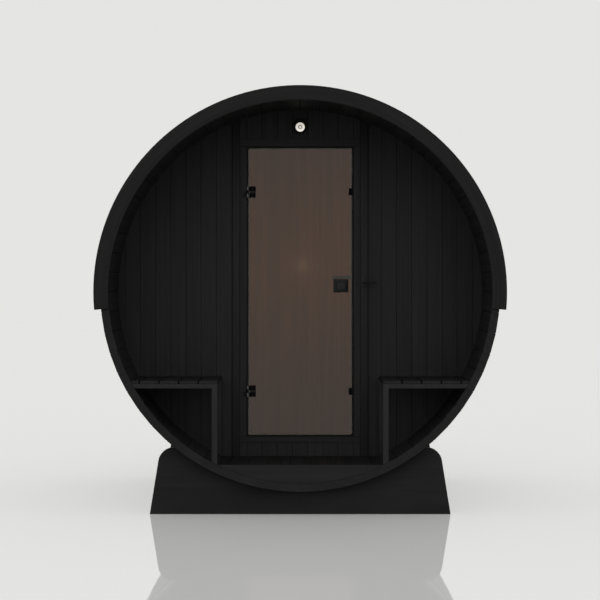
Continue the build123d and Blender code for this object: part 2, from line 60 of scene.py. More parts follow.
# %% Measures of the barrel
MM = 0.001
STAVE_T = 45 * MM
HOOP_T = 2 * MM
hoops_low, hoops_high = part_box("hoops")
AXIS_Z = (hoops_low.z + hoops_high.z) / 2
HOOP_OUTER_R = (hoops_high.x - hoops_low.x) / 2
BARREL_R = HOOP_OUTER_R - HOOP_T
FRONT_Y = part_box("shell_staves_01")[0].y
WALL_FRONT_Y, WALL_BACK_Y = [corner.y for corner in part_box("front_wall_left")]
REAR_WALL_FRONT_Y, REAR_WALL_BACK_Y = [corner.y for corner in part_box("rear_wall")]
print(f"axis {AXIS_Z:.3f} m up, radius {BARREL_R:.3f} m, porch {WALL_FRONT_Y - FRONT_Y:.3f} m deep")

# %% Measures of the boards
STAVE_ANGLE = radians(6)
ROOF_BOARDS = 35
ROOF_OVERHANG = radians(5)
ROOF_BOARD_ANGLE = (pi + 2 * ROOF_OVERHANG) / ROOF_BOARDS
WALL_PITCH = 91 * MM
FLOOR_PITCH = 118 * MM
SEAT_PITCH = 111.6 * MM
SEAT_GRAIN_LEAD = 3 * MM
LEFT_WALL_JOINT_X = -501.5 * MM
RIGHT_WALL_JOINT_X = 485.5 * MM
SEAT_INNER_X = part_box("bench_right_seat")[0].x
print(f"a roof board spans {ROOF_BOARD_ANGLE * BARREL_R / MM:.0f} mm of the barrel's skin")

# %% [markdown]
# ## The camera
# The photograph looks straight at the porch from 11 m away, with the lens level with the
# barrel's axis. That distance shows in how much the inside of the porch opens up: the wall
# is drawn 5 percent smaller than the stave ends. The shifts centre the sauna in the picture
# as the photograph has it, and keep its uprights upright.

# %% Camera
CAMERA_DISTANCE = 10.94
camera_data = bpy.data.cameras.new("studio_camera")
camera_data.sensor_width = 36
camera_data.lens = 115.7
camera_data.shift_x = -0.0003
camera_data.shift_y = -0.0135
camera_data.clip_end = 200
camera = bpy.data.objects.new("studio_camera", camera_data)
camera.location = (0, FRONT_Y - CAMERA_DISTANCE, AXIS_Z)
camera.rotation_euler = (pi / 2, 0, 0)
bpy.context.scene.collection.objects.link(camera)
bpy.context.scene.camera = camera
bpy.context.scene.view_settings.view_transform = "Standard"
print("camera at", tuple(camera.location))

# %% [markdown]
# ## Colours and nodes
# Colours are written as sRGB hex values, the way a paint program shows them, and Blender
# works with linear light, so one function turns them over. A second one adds a node, sets
# its properties, and fills its inputs. Whatever input is given as another node is linked to
# that node's first output, and one given as a socket is linked to that socket.


# %% Helpers for materials
def linear(hex_colour):
    """Linear RGBA of an sRGB hex colour."""
    channels = [int(hex_colour[i:i + 2], 16) / 255 for i in (1, 3, 5)]
    return [c / 12.92 if c <= 0.04045 else ((c + 0.055) / 1.055) ** 2.4 for c in channels] + [1]


def add_node(tree, kind, inputs=None, **settings):
    """Adds a shader node; an input that is a node or a socket is linked, any other is set."""
    node = tree.nodes.new("ShaderNode" + kind)
    for name, value in settings.items():
        setattr(node, name, value)
    for key, value in (inputs or {}).items():
        if isinstance(value, bpy.types.Node):
            value = value.outputs[0]
        if isinstance(value, bpy.types.NodeSocket):
            tree.links.new(value, node.inputs[key])
        else:
            node.inputs[key].default_value = value
    return node


def new_material(name):
    """Empty material, its tree, its surface shader and the object coordinates in metres."""
    material = bpy.data.materials.new(name)
    material.use_nodes = True
    tree = material.node_tree
    tree.nodes.clear()
    shader = add_node(tree, "BsdfPrincipled")
    add_node(tree, "OutputMaterial", {"Surface": shader})
    place = add_node(tree, "TexCoord").outputs["Object"]
    return material, tree, shader, place


print("black of the wood in linear light:", [round(c, 4) for c in linear("#1a1a1a")[:3]])

# %% [markdown]
# ## The studio
# The photograph has a pale grey background with no horizon. Here the world shows that grey
# to the camera, to reflections and through glass, while a separate even white light reaches
# the surfaces. Under it a colour renders about as it is written.

# %% World
BACKDROP = "#e5e5e3"
EVEN_LIGHT = 0.8
world = bpy.data.worlds.new("studio")
world.use_nodes = True
bpy.context.scene.world = world
tree = world.node_tree
tree.nodes.clear()
rays = add_node(tree, "LightPath").outputs
seen = add_node(tree, "Math", {0: rays["Is Camera Ray"], 1: rays["Is Glossy Ray"]},
                operation="MAXIMUM")
seen = add_node(tree, "Math", {0: seen, 1: rays["Is Transmission Ray"]}, operation="MAXIMUM")
even_light = add_node(tree, "Background", {"Color": linear("#ffffff"), "Strength": EVEN_LIGHT})
backdrop = add_node(tree, "Background", {"Color": linear(BACKDROP), "Strength": 1.0})
both = add_node(tree, "MixShader", {0: seen, 1: even_light, 2: backdrop})
add_node(tree, "OutputWorld", {"Surface": both})
print("world:", world.name)

# %% [markdown]
# ## The floor
# The photograph's floor is polished: it mirrors the cradle and the barrel, a little less
# towards the camera. So the floor is a plain diffuse grey that keeps the shadow, with a mirror
# mixed in. A share of the backdrop's own grey is mixed in too, which lifts the floor to the
# backdrop and hides the horizon. Reflections and glass see only that grey, and the sauna is
# lit by a weaker one, because a bright floor would light the porch's ceiling from below.

# %% Floor
FLOOR_SIZE = 120
MIRROR_AT_SAUNA = 0.445
MIRROR_AT_CAMERA = 0.42
MIRROR_FADE = 2.5
FLOOR_GLOW = 0.35
FLOOR_BOUNCE = 0.4
bpy.ops.object.select_all(action="DESELECT")
bpy.ops.mesh.primitive_plane_add(size=FLOOR_SIZE, location=(0, 0, 0))
floor = bpy.context.object
floor.name = "studio_floor"

floor_material, tree, grey, place = new_material("studio_floor")
grey.inputs["Base Color"].default_value = linear("#e9e9e7")
grey.inputs["Roughness"].default_value = 1
grey.inputs["Specular IOR Level"].default_value = 0
rays = add_node(tree, "LightPath").outputs
shaded_share = add_node(tree, "Math", {0: rays["Is Camera Ray"], 1: 1 - FLOOR_GLOW},
                        operation="MULTIPLY")
glow_share = add_node(tree, "Math", {0: 1.0, 1: shaded_share}, operation="SUBTRACT")
seen = add_node(tree, "Math", {0: rays["Is Glossy Ray"], 1: rays["Is Transmission Ray"]},
                operation="MAXIMUM")
seen = add_node(tree, "Math", {0: seen, 1: rays["Is Camera Ray"]}, operation="MAXIMUM")
strength = add_node(tree, "MapRange", {0: seen, 3: FLOOR_BOUNCE, 4: 1.0})
glow = add_node(tree, "Emission", {"Color": linear(BACKDROP), "Strength": strength})
lifted = add_node(tree, "MixShader", {0: glow_share, 1: grey, 2: glow})
print("floor:", floor.name, "lifted by", FLOOR_GLOW)

# %% Mirror in the floor
mirror = add_node(tree, "BsdfGlossy", {"Color": linear("#ffffff"), "Roughness": 0.02})
depth = add_node(tree, "SeparateXYZ", {0: place}).outputs[1]
fade = add_node(tree, "MapRange", {0: depth, 1: FRONT_Y, 2: FRONT_Y - MIRROR_FADE,
                                   3: MIRROR_AT_SAUNA, 4: MIRROR_AT_CAMERA})
fade = add_node(tree, "Math", {0: fade, 1: rays["Is Camera Ray"]}, operation="MULTIPLY")
polished = add_node(tree, "MixShader", {0: fade, 1: lifted, 2: mirror})
output = next(node for node in tree.nodes if node.bl_idname == "ShaderNodeOutputMaterial")
tree.links.new(polished.outputs[0], output.inputs["Surface"])
floor.data.materials.append(floor_material)
print("mirror from", MIRROR_AT_SAUNA, "to", MIRROR_AT_CAMERA)

# %% [markdown]
# ## The light
# Product pictures of black wood are lit by big soft boxes, because only broad pale light
# tells one black plane from the next. A sun lamp with a wide disc is such a box at any
# distance, and it lights the whole floor alike. One stands in front and above, and one hangs
# overhead. Neither shows in a reflection or through the glass, where its disc would draw an
# edge across the door.


# %% Soft boxes
def soft_sun(name, towards, strength, disc):
    """Sun lamp that shines along a direction from a disc of that many degrees."""
    data = bpy.data.lights.new(name, "SUN")
    data.energy = strength
    data.angle = radians(disc)
    lamp = bpy.data.objects.new(name, data)
    lamp.rotation_euler = Vector(towards).to_track_quat("-Z", "Y").to_euler()
    lamp.visible_glossy = False
    lamp.visible_transmission = False
    bpy.context.scene.collection.objects.link(lamp)
    return lamp


front_light = soft_sun("front_light", towards=(0.02, 1, -0.24), strength=1.08, disc=60)
top_light = soft_sun("top_light", towards=(-0.15, 0.35, -1), strength=0.22, disc=70)
print("soft boxes:", front_light.name, top_light.name)

# %% [markdown]
# Behind the glass the photograph shows warm wood and one small soft glow at breast height. A
# large warm lamp in the cabin lights the boards, and a small cool one just in front of the
# rear wall makes the glow.


# %% Lamps in the cabin
def cabin_lamp(name, place, power, size, colour):
    """Point light inside the cabin that doesn't show itself."""
    data = bpy.data.lights.new(name, "POINT")
    data.energy = power
    data.color = linear(colour)[:3]
    data.shadow_soft_size = size
    lamp = bpy.data.objects.new(name, data)
    lamp.location = place
    lamp.visible_camera = False
    lamp.visible_glossy = False
    lamp.visible_transmission = False
    bpy.context.scene.collection.objects.link(lamp)
    return lamp


GLOW_TO_WALL = 50 * MM
cabin_light = cabin_lamp("cabin_light", (0, 0.2, 1.5), power=6.1, size=0.3, colour="#ffe4c4")
cabin_glow = cabin_lamp("cabin_glow", (0.01, REAR_WALL_FRONT_Y - GLOW_TO_WALL, 1.455),
                        power=0.044, size=0.015, colour="#d8f0ff")
print("cabin lamps:", cabin_light.name, cabin_glow.name)

# %% [markdown]
# ## Stained wood
# The boards are planed spruce under an opaque black stain. The stain soaks into the soft
# early wood more than into the hard late wood, so the grain still shows as faint streaks
# along each board, and every board takes the stain a little differently. The surface is
# matt with a weak sheen. Inside the cabin the same boards are left bare and brown.
#
# A tree's growth rings lie round its pith, so a ring is a place at a given distance from a
# line along the grain. A noise that is read at that distance gives streaks along a board's
# faces and bands across its sawn ends. Each board is shifted by chance before it is read,
# which gives it a pith of its own. Spruce rings are 2 to 6 mm apart, and they are drawn 7 mm
# apart here, a little coarser than life, so that they show. Fibres lie over them, drawn far
# coarser than life for the same reason, and both press a little relief into the surface.

# %% Measures of the grain
PITH_SPREAD = 2.0
RING_WIDTH = 7 * MM
GRAIN_LENGTH = 0.9
FIBRE_WIDTH = 1.6 * MM
FIBRES_ALONG = 12
GRAIN_RELIEF = 0.5 * MM
STAIN_DARK = "#1a1a1a"
STAIN_LIGHT = "#1f1f1f"
BARE_DARK = "#8d6f54"
BARE_LIGHT = "#a28163"
print("rings", RING_WIDTH / MM, "mm and fibres", FIBRE_WIDTH / MM, "mm wide")


# %% Places on the barrel
def from_axis(tree, place):
    """How far a point is to the side of the barrel's axis, along it, and above it."""
    centred = add_node(tree, "VectorMath", {0: place, 1: (0, 0, AXIS_Z)}, operation="SUBTRACT")
    return add_node(tree, "SeparateXYZ", {0: centred}).outputs


def axis_distance(tree, aside, above):
    """Distance of a point from the barrel's axis."""
    aside_2 = add_node(tree, "Math", {0: aside, 1: 2.0}, operation="POWER")
    above_2 = add_node(tree, "Math", {0: above, 1: 2.0}, operation="POWER")
    radius_2 = add_node(tree, "Math", {0: aside_2, 1: above_2}, operation="ADD")
    return add_node(tree, "Math", {0: radius_2}, operation="SQRT")


def arch_place(tree, place):
    """Coordinates bent round the barrel: radius, depth and length along the arch."""
    aside, depth, above = from_axis(tree, place)
    radius = axis_distance(tree, aside, above)
    turn = add_node(tree, "Math", {0: aside, 1: above}, operation="ARCTAN2")
    along = add_node(tree, "Math", {0: turn, 1: BARREL_R}, operation="MULTIPLY")
    return add_node(tree, "CombineXYZ", {0: radius, 1: depth, 2: along}).outputs[0]


def cabin_mask(tree, place):
    """1 on faces that look into the cabin, and 0 elsewhere."""
    aside, depth, above = from_axis(tree, place)
    radius = axis_distance(tree, aside, above)
    inside = add_node(tree, "Math", {0: radius, 1: BARREL_R - STAVE_T / 2},
                      operation="LESS_THAN")
    behind = add_node(tree, "Math", {0: depth, 1: (WALL_FRONT_Y + WALL_BACK_Y) / 2},
                      operation="GREATER_THAN")
    before = add_node(tree, "Math", {0: depth, 1: (REAR_WALL_FRONT_Y + REAR_WALL_BACK_Y) / 2},
                      operation="LESS_THAN")
    between = add_node(tree, "Math", {0: behind, 1: before}, operation="MULTIPLY")
    return add_node(tree, "Math", {0: inside, 1: between}, operation="MULTIPLY")


def board_number(tree, place, layout, pitch, first):
    """Whole number of the board that a point is on, counted across or round the barrel."""
    across, _, above = from_axis(tree, place)
    if layout == "ring":
        across = add_node(tree, "Math", {0: across, 1: above}, operation="ARCTAN2")
    elif layout == "both sides":
        across = add_node(tree, "Math", {0: across}, operation="ABSOLUTE")
    shifted = add_node(tree, "Math", {0: across, 1: first}, operation="SUBTRACT")
    boards = add_node(tree, "Math", {0: shifted, 1: pitch}, operation="DIVIDE")
    return add_node(tree, "Math", {0: boards}, operation="FLOOR")


print("the cabin's bare wood starts", round(STAVE_T / 2 / MM, 1), "mm inside the barrel's skin")


# %% Rings and fibres
def growth_rings(tree, where, axis):
    """Noise read at a point's distance from the pith, drawn out along the grain."""
    across = [0 if index == axis else 1 / RING_WIDTH for index in range(3)]
    from_pith = add_node(tree, "VectorMath", {0: where, 1: across}, operation="MULTIPLY")
    ring = add_node(tree, "VectorMath", {0: from_pith}, operation="LENGTH").outputs["Value"]
    along = add_node(tree, "SeparateXYZ", {0: where}).outputs[axis]
    length = add_node(tree, "Math", {0: along, 1: GRAIN_LENGTH}, operation="DIVIDE")
    rings_at = add_node(tree, "CombineXYZ", {0: ring, 1: length})
    return add_node(tree, "TexNoise", {"Vector": rings_at, "Scale": 1.0, "Detail": 3.0,
                                       "Roughness": 0.55, "Distortion": 0.6})


def wood_fibres(tree, where, axis):
    """Noise squeezed across the grain."""
    squeeze = [FIBRES_ALONG if index == axis else 1 / FIBRE_WIDTH for index in range(3)]
    fibres_at = add_node(tree, "VectorMath", {0: where, 1: squeeze}, operation="MULTIPLY")
    return add_node(tree, "TexNoise", {"Vector": fibres_at, "Scale": 1.0, "Detail": 2.0})


print("fibres to the metre along the grain:", FIBRES_ALONG)


# %% One wood
def wood_material(name, grain, layout=None, pitch=1.0, first=0.0, arch=False, cabin=False,
                  bare=False, depth=1.0, shine=0.1):
    """Boards with grain along one axis; depth scales the stain to paint light or shade, shine its
    sheen.
    """
    material, tree, shader, place = new_material(name)
    axis = "XYZ".index(grain)
    where = arch_place(tree, place) if arch else place
    if layout:
        number = board_number(tree, place, layout, pitch, first)
        tone = add_node(tree, "TexWhiteNoise", {"W": number}, noise_dimensions="1D")
        shift = add_node(tree, "VectorMath", {0: tone.outputs["Color"], "Scale": PITH_SPREAD},
                         operation="SCALE")
        where = add_node(tree, "VectorMath", {0: where, 1: shift}).outputs[0]
    else:
        tone = add_node(tree, "TexNoise", {"Vector": place, "Scale": 1.3})
    rings = growth_rings(tree, where, axis)
    fibres = wood_fibres(tree, where, axis)
    streaks = add_node(tree, "MapRange", {0: rings, 1: 0.36, 2: 0.64, 3: 0.0, 4: 1.0})

    # The stain's black is scaled by depth: above 1 it is painted light, below 1 painted shade.
    dark, light = ([depth * c for c in linear(stain)] for stain in (STAIN_DARK, STAIN_LIGHT))
    colour = add_node(tree, "Mix", {0: streaks, 6: dark, 7: light}, data_type="RGBA").outputs[2]
    if cabin or bare:
        wood = add_node(tree, "Mix", {0: streaks, 6: linear(BARE_DARK), 7: linear(BARE_LIGHT)},
                        data_type="RGBA").outputs[2]
        share = 1.0 if bare else cabin_mask(tree, place)
        colour = add_node(tree, "Mix", {0: share, 6: colour, 7: wood},
                          data_type="RGBA").outputs[2]
    level = add_node(tree, "MapRange", {0: tone, 3: 0.93, 4: 1.07})
    fleck = add_node(tree, "MapRange", {0: fibres, 1: 0.3, 2: 0.7, 3: 0.95, 4: 1.05})
    shade = add_node(tree, "Math", {0: level, 1: fleck}, operation="MULTIPLY")
    colour = add_node(tree, "VectorMath", {0: colour, "Scale": shade}, operation="SCALE")

    sheen = add_node(tree, "MapRange", {0: rings, 1: 0.3, 2: 0.7, 3: 0.62, 4: 0.5})
    ridges = add_node(tree, "Math", {0: streaks, 1: 0.6}, operation="MULTIPLY")
    threads = add_node(tree, "Math", {0: fibres, 1: 0.4}, operation="MULTIPLY")
    height = add_node(tree, "Math", {0: ridges, 1: threads}, operation="ADD")
    bump = add_node(tree, "Bump", {"Height": height, "Strength": 0.2, "Distance": GRAIN_RELIEF})
    tree.links.new(colour.outputs[0], shader.inputs["Base Color"])
    tree.links.new(sheen.outputs[0], shader.inputs["Roughness"])
    tree.links.new(bump.outputs[0], shader.inputs["Normal"])
    shader.inputs["IOR"].default_value = 1.5
    shader.inputs["Specular IOR Level"].default_value = shine
    return material


print("stain", STAIN_DARK, "to", STAIN_LIGHT, "and bare wood", BARE_DARK, "to", BARE_LIGHT)

# %% [markdown]
# Each kind of board gets a wood of its own, because its grain runs another way and its
# joints fall in other places. The depth of the stain is matched to the photograph piece by
# piece, so it is painted light and shade: the staves, walls and benches in the porch are
# painted paler against its shade, and the fascia and the cradles darker as painted shade.
# The staves and the porch floor are seen at a flat angle, where a sheen would mirror
# the wall and the door, so theirs is the weakest.

# %% The sauna's woods
# Depths over 1 paint light into pieces in the porch's shade; under 1 paint shade on fascia and
# cradles.
stave_wood = wood_material("black_stained_spruce_staves", "Y", "ring", STAVE_ANGLE, 0,
                           cabin=True, depth=1.42, shine=0.02)
roof_wood = wood_material("black_stained_spruce_roof_boards", "Y", "ring", ROOF_BOARD_ANGLE,
                          pi / 2 + ROOF_OVERHANG)
left_wall_wood = wood_material("black_stained_spruce_left_wall", "Z", "X", WALL_PITCH,
                               LEFT_WALL_JOINT_X, cabin=True, depth=1.12)
right_wall_wood = wood_material("black_stained_spruce_right_wall", "Z", "X", WALL_PITCH,
                                RIGHT_WALL_JOINT_X, cabin=True, depth=1.12)
middle_wall_wood = wood_material("black_stained_spruce_end_wall", "Z", "X", WALL_PITCH,
                                 WALL_PITCH / 2, cabin=True, depth=1.12)
upright_wood = wood_material("black_stained_spruce_uprights", "Z")
bench_wood = wood_material("black_stained_spruce_bench_frames", "Z", depth=1.42)
cross_wood = wood_material("black_stained_spruce_cross_pieces", "X")
floor_wood = wood_material("black_stained_spruce_porch_floor", "Y", "X", FLOOR_PITCH,
                           FLOOR_PITCH / 2, shine=0.03)
cabin_floor_wood = wood_material("bare_spruce_cabin_floor", "Y", "X", FLOOR_PITCH,
                                 FLOOR_PITCH / 2, bare=True)
seat_wood = wood_material("black_stained_spruce_seat_boards", "Y", "both sides", SEAT_PITCH,
                          SEAT_INNER_X - SEAT_GRAIN_LEAD)
arch_wood = wood_material("black_stained_spruce_arches", "Z", arch=True, depth=0.82)
cradle_wood = wood_material("black_stained_spruce_cradles", "X", depth=0.85)
batten_wood = wood_material("bare_spruce_roof_battens", "Z", arch=True, bare=True)
print("finishes so far:", len(bpy.data.materials))

# %% [markdown]
# ## Metal and rubber
# The fittings are die-cast zinc under a black powder coat, which melts into a matt skin with
# a fine orange peel. Three coats differ in how much light they throw back: the flat one of
# the hinge blocks, the usual one, and a paler one. On the pull's knob the paler coat is
# painted light, and the plate round it is left darker as painted shade.
#
# The hinges' sleeves are drawn steel that was blackened, the strip over the pull is ground
# steel with a satin face, and the hoops are rolled stainless steel. Drawing, grinding and
# rolling all leave fine scratches along a piece, which spread a highlight across it. They
# are drawn about a millimetre apart, far coarser than life, so that they show. The seal is
# extruded EPDM rubber, dull and a little dusty.

# %% Powder coat
PEEL_SIZE = 1.2 * MM
PEEL_RELIEF = 0.1 * MM


def coated_metal(name, colour, roughness, shine):
    """Powder-coated metal with an orange peel about a millimetre across."""
    material, tree, shader, place = new_material(name)
    peel = add_node(tree, "TexNoise", {"Vector": place, "Scale": 1 / PEEL_SIZE, "Detail": 1.0})
    tone = add_node(tree, "TexNoise", {"Vector": place, "Scale": 30.0})
    level = add_node(tree, "MapRange", {0: tone, 3: 0.85, 4: 1.15})
    tinted = add_node(tree, "VectorMath", {0: linear(colour)[:3], "Scale": level},
                      operation="SCALE")
    bump = add_node(tree, "Bump", {"Height": peel, "Strength": 0.25, "Distance": PEEL_RELIEF})
    tree.links.new(tinted.outputs[0], shader.inputs["Base Color"])
    tree.links.new(bump.outputs[0], shader.inputs["Normal"])
    shader.inputs["Roughness"].default_value = roughness
    shader.inputs["Specular IOR Level"].default_value = shine
    return material


black_coat = coated_metal("matt_black_powder_coat", "#0c0c0c", roughness=0.55, shine=0.12)
deep_coat = coated_metal("flat_black_powder_coat", "#060606", roughness=0.7, shine=0.04)
# A paler copy of the coat; on the pull's knob it is painted light.
pale_coat = coated_metal("paler_black_powder_coat", "#1c1c1c", roughness=0.42, shine=0.14)
print("coats:", black_coat.name, deep_coat.name, pale_coat.name)

# %% Steel
SCRATCH_RELIEF = 0.05 * MM


def brushed_steel(name, colour, scratch, roughness):
    """Steel with fine scratches; scratch is the number of them to the metre on each axis."""
    material, tree, shader, place = new_material(name)
    stretched = add_node(tree, "VectorMath", {0: place, 1: scratch}, operation="MULTIPLY")
    lines = add_node(tree, "TexNoise", {"Vector": stretched, "Scale": 1.0})
    level = add_node(tree, "MapRange", {0: lines, 3: roughness - 0.08, 4: roughness + 0.12})
    bump = add_node(tree, "Bump", {"Height": lines, "Strength": 0.15,
                                   "Distance": SCRATCH_RELIEF})
    tree.links.new(level.outputs[0], shader.inputs["Roughness"])
    tree.links.new(bump.outputs[0], shader.inputs["Normal"])
    shader.inputs["Base Color"].default_value = linear(colour)
    shader.inputs["Metallic"].default_value = 1
    return material


pin_steel = brushed_steel("blackened_steel_pins", "#5a5a5b", scratch=(900, 900, 40),
                          roughness=0.4)
satin_steel = brushed_steel("satin_steel_strip", "#4b4946", scratch=(40, 900, 1500),
                            roughness=0.45)
hoop_steel = brushed_steel("rolled_stainless_steel_hoops", "#a8a8a6", scratch=(20, 1500, 20),
                           roughness=0.38)
print("steels:", pin_steel.name, satin_steel.name, hoop_steel.name)

# %% Rubber
rubber, tree, shader, place = new_material("black_epdm_rubber")
dust = add_node(tree, "TexNoise", {"Vector": place, "Scale": 60.0})
black = add_node(tree, "Mix", {0: dust, 6: linear("#1c1c1b"), 7: linear("#242423")},
                 data_type="RGBA")
tree.links.new(black.outputs[2], shader.inputs["Base Color"])
shader.inputs["Roughness"].default_value = 0.75
shader.inputs["Specular IOR Level"].default_value = 0.1
print("rubber:", rubber.name)

# %% [markdown]
# ## Glass and lens
# The door is 8 mm toughened float glass with a bronze tint right through, so the colour
# belongs to what passes and the reflections stay white. Float glass is almost perfectly
# smooth, and a faint uneven haze is what wiping leaves on it.
#
# The lamp's cover is moulded opal polycarbonate, which scatters light inside. It glows cream,
# and painted shade darkens its colour and glow at its top and in a ring round its middle.

# %% Tinted glass
bronze_glass, tree, shader, place = new_material("bronze_tinted_toughened_glass")
shader.inputs["Base Color"].default_value = linear("#af987e")
shader.inputs["Transmission Weight"].default_value = 1
shader.inputs["IOR"].default_value = 1.52
shader.inputs["Specular IOR Level"].default_value = 0.12
haze = add_node(tree, "TexNoise", {"Vector": place, "Scale": 2.0, "Detail": 0.0})
smear = add_node(tree, "MapRange", {0: haze, 3: 0.0, 4: 0.02})
tree.links.new(smear.outputs[0], shader.inputs["Roughness"])
print("glass:", bronze_glass.name)

# %% Opal cover
COVER_DROP = 2 * MM
RING_R = 9.5 * MM
lens_low, lens_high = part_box("lamp_lens")
LAMP_CENTRE = (lens_low + lens_high) / 2 - Vector((0, 0, COVER_DROP))
opal, tree, shader, place = new_material("opal_polycarbonate_lens")
cloud = add_node(tree, "TexNoise", {"Vector": place, "Scale": 90.0})
cream = add_node(tree, "Mix", {0: cloud, 6: linear("#f4ebe2"), 7: linear("#fdf5ec")},
                 data_type="RGBA").outputs[2]
from_centre = add_node(tree, "VectorMath", {0: place, 1: tuple(LAMP_CENTRE)},
                       operation="SUBTRACT")
flat = add_node(tree, "VectorMath", {0: from_centre, 1: (1, 0, 1)}, operation="MULTIPLY")
radius = add_node(tree, "VectorMath", {0: flat}, operation="LENGTH").outputs["Value"]
# Painted shade: colour and glow are darkened in a ring round the cover's middle.
from_ring = add_node(tree, "Math", {0: radius, 1: RING_R}, operation="SUBTRACT")
off_ring = add_node(tree, "Math", {0: from_ring}, operation="ABSOLUTE")
painted_ring_shade = add_node(tree, "MapRange", {0: off_ring, 1: 1.5 * MM, 2: 6 * MM, 3: 0.3, 4: 1.0},
               interpolation_type="SMOOTHSTEP")
height = add_node(tree, "SeparateXYZ", {0: from_centre}).outputs[2]
# Painted shade: the glow fades towards the cover's top.
painted_top_shade = add_node(tree, "MapRange", {0: height, 1: -25 * MM, 2: 25 * MM, 3: 0.7, 4: 0.36})
cream = add_node(tree, "VectorMath", {0: cream, "Scale": painted_ring_shade}, operation="SCALE")
tree.links.new(cream.outputs[0], shader.inputs["Base Color"])
tree.links.new(cream.outputs[0], shader.inputs["Emission Color"])
tree.links.new(painted_top_shade.outputs[0], shader.inputs["Emission Strength"])
shader.inputs["Subsurface Weight"].default_value = 0.2
shader.inputs["Subsurface Radius"].default_value = (0.004, 0.004, 0.003)
shader.inputs["Roughness"].default_value = 0.35
print("finishes:", len(bpy.data.materials))

# %% [markdown]
# ## Finishes on the frame
# Each node that keeps its CAD shape gets a finish by its name. The longest start that fits
# a name wins.

# %% Dress the CAD nodes
NODE_FINISHES = {
    "shell_staves_": stave_wood, "roof_boards_": roof_wood, "roof_battens": batten_wood,
    "fascia_": arch_wood, "hoops": hoop_steel, "porch_floor": floor_wood,
    "cabin_floor": cabin_floor_wood, "floor_bearers": cross_wood, "porch_skirt": cross_wood,
    "front_wall_left": left_wall_wood, "front_wall_right": right_wall_wood,
    "front_wall_head": middle_wall_wood, "front_wall_sill": middle_wall_wood,
    "rear_wall": middle_wall_wood, "cover_batten_": upright_wood,
    "door_frame_left": upright_wood, "door_frame_right": upright_wood,
    "door_frame_head": cross_wood, "door_frame_sill": cross_wood,
    "door_jamb_hinges": black_coat, "door_glass_hinges": black_coat,
    "door_catches": black_coat, "door_pull_": black_coat, "door_glass": bronze_glass,
    "lamp_body": black_coat, "lamp_lens": opal, "hook": black_coat,
    "bench_left_seat": seat_wood, "bench_right_seat": seat_wood,
    "bench_left_frame": bench_wood, "bench_right_frame": bench_wood, "cradle_": cradle_wood,
}
for node_name, node in nodes.items():
    matches = [start for start in NODE_FINISHES if node_name.startswith(start)]
    node.data.materials.clear()
    node.data.materials.append(NODE_FINISHES[max(matches, key=len)])
print("dressed", len(nodes), "nodes")

# %% [markdown]
# ## Working by hand, in code
# New pieces are modelled as by hand: a primitive is added, its place is applied, and faces or
# edges are picked in code by where they are before an edit-mode operator shapes them. An
# operator acts on all that is selected, so the selection is cleared before each step.


# %% Start and pick
def clear_selection():
    """Object mode with nothing selected."""
    if bpy.context.object and bpy.context.object.mode != "OBJECT":
        bpy.ops.object.mode_set(mode="OBJECT")
    bpy.ops.object.select_all(action="DESELECT")


def only(piece):
    """Object mode with just that piece selected and active."""
    clear_selection()
    bpy.context.view_layer.objects.active = piece
    piece.select_set(True)


def primitive(kind, name, scale=(1, 1, 1), **options):
    """Adds a mesh primitive and applies its place, so that its mesh is in the frame's metres."""
    clear_selection()
    getattr(bpy.ops.mesh, f"primitive_{kind}_add")(**options)
    piece = bpy.context.object
    piece.name = piece.data.name = name
    piece.scale = scale
    bpy.ops.object.transform_apply(location=True, rotation=True, scale=True)
    return piece


def block(name, low, high):
    """Box between two corners, as a start for a piece."""
    low, high = Vector(low), Vector(high)
    return primitive("cube", name, high - low, size=1, location=(low + high) / 2)


def pick(piece, kind, test):
    """Edit mode with just the faces, edges or vertices selected that pass the test."""
    only(piece)
    bpy.ops.object.mode_set(mode="EDIT")
    bpy.ops.mesh.select_mode(type=kind)
    bpy.ops.mesh.select_all(action="DESELECT")
    bpy.ops.object.mode_set(mode="OBJECT")
    corners = piece.data.vertices
    if kind == "EDGE":
        for edge in piece.data.edges:
            edge.select = test(*(corners[index].co for index in edge.vertices))
    elif kind == "FACE":
        for face in piece.data.polygons:
            face.select = test(face.center, face.normal)
    else:
        for corner in corners:
            corner.select = test(corner.co)
    bpy.ops.object.mode_set(mode="EDIT")


# %% Ease, join and copy
def ease(piece, width, segments=2, angle=30):
    """Rounds every edge sharper than an angle, as sandpaper or a tumbler does."""
    only(piece)
    bevel = piece.modifiers.new("eased_edges", "BEVEL")
    bevel.width = width
    bevel.segments = segments
    bevel.limit_method = "ANGLE"
    bevel.angle_limit = radians(angle)
    bpy.ops.object.modifier_apply(modifier=bevel.name)
    return piece


def join(pieces, name):
    """One piece out of several."""
    clear_selection()
    for piece in pieces:
        piece.select_set(True)
    bpy.context.view_layer.objects.active = pieces[0]
    if len(pieces) > 1:
        bpy.ops.object.join()
    pieces[0].name = pieces[0].data.name = name
    return pieces[0]


def standing(point, facing):
    """Place of a copy that stands at a point with its +Z turned to the facing."""
    return Matrix.Translation(point) @ Vector(facing).to_track_quat("Z", "Y").to_matrix().to_4x4()


def copies(model, places, name):
    """Copies of a model made at the origin, one at each place, as one piece."""
    made = []
    for place in places:
        one = model.copy()
        one.data = model.data.copy()
        one.data.transform(place)
        bpy.context.scene.collection.objects.link(one)
        made.append(one)
    return join(made, name)


print("a copy stands by a matrix such as", standing((0, 0, 1), (0, -1, 0)).translation)

# %% [markdown]
# A finished piece gets its material and its smooth shading, rides on a body of the frame,
# and may stand in for nodes. A copy of a node is merged first: its loose triangles become
# whole flat faces, whose edges a bevel can then find.


